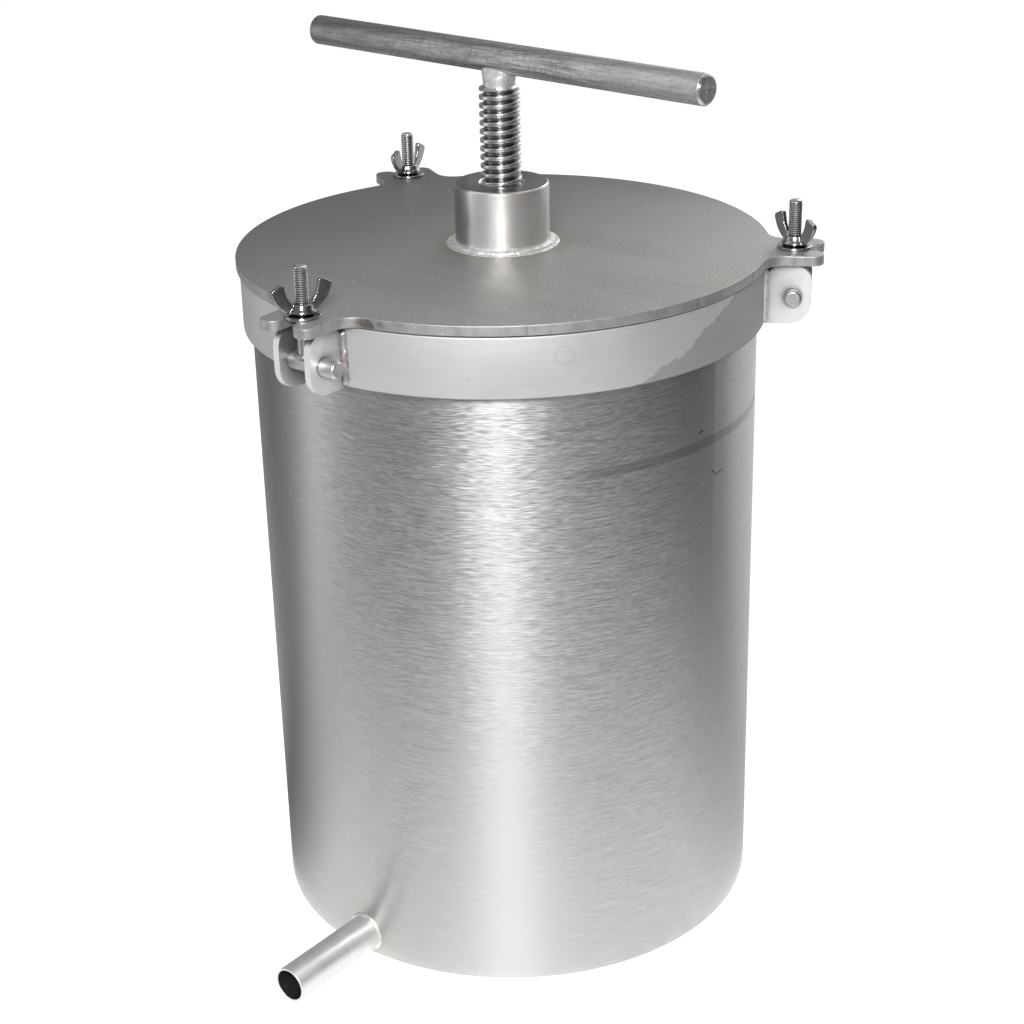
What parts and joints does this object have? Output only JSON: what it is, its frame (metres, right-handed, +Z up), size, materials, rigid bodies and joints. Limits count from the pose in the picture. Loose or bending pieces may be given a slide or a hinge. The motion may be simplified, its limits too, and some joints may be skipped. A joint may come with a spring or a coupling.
{
  "type": "wax melter",
  "caption": "Steel drum wax melter with a drain spout, a lid clamped by swing bolts and wing nuts, and a T-handle press screw that drives a plate into a perforated basket.",
  "frame": {"origin": "centre of the flat base, on the surface the drum stands on", "axes": "+Z up along the drum's axis and the press screw, -Y along the drain spout, +X to the right"},
  "size_m": [0.339, 0.375, 0.5322],
  "materials": {
    "drum_sheet": "brushed round the drum",
    "rim_bar": "smooth mill finish",
    "spout_tube": "drawn tube, satin",
    "lid_sheet": "matte pickled mill finish",
    "clevis_steel": "matte, tinted beside the welds",
    "pin_steel": "drawn bar",
    "turned_steel": "turned, fine rings",
    "screw_steel": "rolled thread, bright",
    "handle_steel": "mill bar, mottled",
    "fastener_steel": "bright",
    "inner_sheet": "plain sheet",
    "gasket_rubber": "matte silicone"
  },
  "bodies": {
    "drum": {"drum_shell": "drum_sheet", "drum_floor": "drum_sheet", "rim_band": "rim_bar", "drain_spout": "spout_tube", "lid_gasket": "gasket_rubber", "basket_wall": "inner_sheet", "basket_floor": "inner_sheet", "basket_rim": "inner_sheet", "basket_stand": "inner_sheet", "front_clevis_plate_a": "clevis_steel", "front_clevis_plate_b": "clevis_steel", "front_cross_pin": "pin_steel", "front_swing_bolt": "fastener_steel", "right_clevis_plate_a": "clevis_steel", "right_clevis_plate_b": "clevis_steel", "right_cross_pin": "pin_steel", "right_swing_bolt": "fastener_steel", "left_clevis_plate_a": "clevis_steel", "left_clevis_plate_b": "clevis_steel", "left_cross_pin": "pin_steel", "left_swing_bolt": "fastener_steel"},
    "lid": {"lid_plate": "lid_sheet", "press_nut": "turned_steel"},
    "plate": {"press_plate": "inner_sheet", "plate_hub": "turned_steel"},
    "screw": {"press_screw": "screw_steel", "handle_bar": "handle_steel", "keeper_washer": "fastener_steel", "keeper_bolt": "fastener_steel"},
    "front_washer": {"front_washer": "fastener_steel"},
    "front_wing_nut": {"front_wing_nut": "fastener_steel"},
    "right_washer": {"right_washer": "fastener_steel"},
    "right_wing_nut": {"right_wing_nut": "fastener_steel"},
    "left_washer": {"left_washer": "fastener_steel"},
    "left_wing_nut": {"left_wing_nut": "fastener_steel"}
  },
  "joints": [
    {"name": "lid_lift", "type": "slide", "parent": "drum", "child": "lid", "axis": [0, 0, 1], "range_m": [0, 0.38]},
    {"name": "press_travel", "type": "slide", "parent": "lid", "child": "plate", "axis": [0, 0, -1], "range_m": [-0.2752, 0.0552]},
    {"name": "screw_turn", "type": "hinge", "parent": "plate", "child": "screw", "pos_m": [0, 0, 0.127], "axis": [0, 0, -1], "range_deg": [-19800, 3960]},
    {"name": "front_nut_turn", "type": "hinge", "parent": "lid", "child": "front_washer", "pos_m": [0, -0.1705, 0.4157], "axis": [0, 0, 1], "range_deg": [0, 5400]},
    {"name": "front_nut_rise", "type": "slide", "parent": "front_washer", "child": "front_wing_nut", "axis": [0, 0, 1], "range_m": [0, 0.0188]},
    {"name": "right_nut_turn", "type": "hinge", "parent": "lid", "child": "right_washer", "pos_m": [0.14766, 0.08525, 0.4157], "axis": [0, 0, 1], "range_deg": [0, 5400]},
    {"name": "right_nut_rise", "type": "slide", "parent": "right_washer", "child": "right_wing_nut", "axis": [0, 0, 1], "range_m": [0, 0.0188]},
    {"name": "left_nut_turn", "type": "hinge", "parent": "lid", "child": "left_washer", "pos_m": [-0.14766, 0.08525, 0.4157], "axis": [0, 0, 1], "range_deg": [0, 5400]},
    {"name": "left_nut_rise", "type": "slide", "parent": "left_washer", "child": "left_wing_nut", "axis": [0, 0, 1], "range_m": [0, 0.0188]}
  ],
  "couplings": [
    {"joint": "press_travel", "follows": "screw_turn", "m_per_rad": 0.00079577},
    {"joint": "front_nut_rise", "follows": "front_nut_turn", "m_per_rad": 0.00019894},
    {"joint": "right_nut_rise", "follows": "right_nut_turn", "m_per_rad": 0.00019894},
    {"joint": "left_nut_rise", "follows": "left_nut_turn", "m_per_rad": 0.00019894}
  ]
}
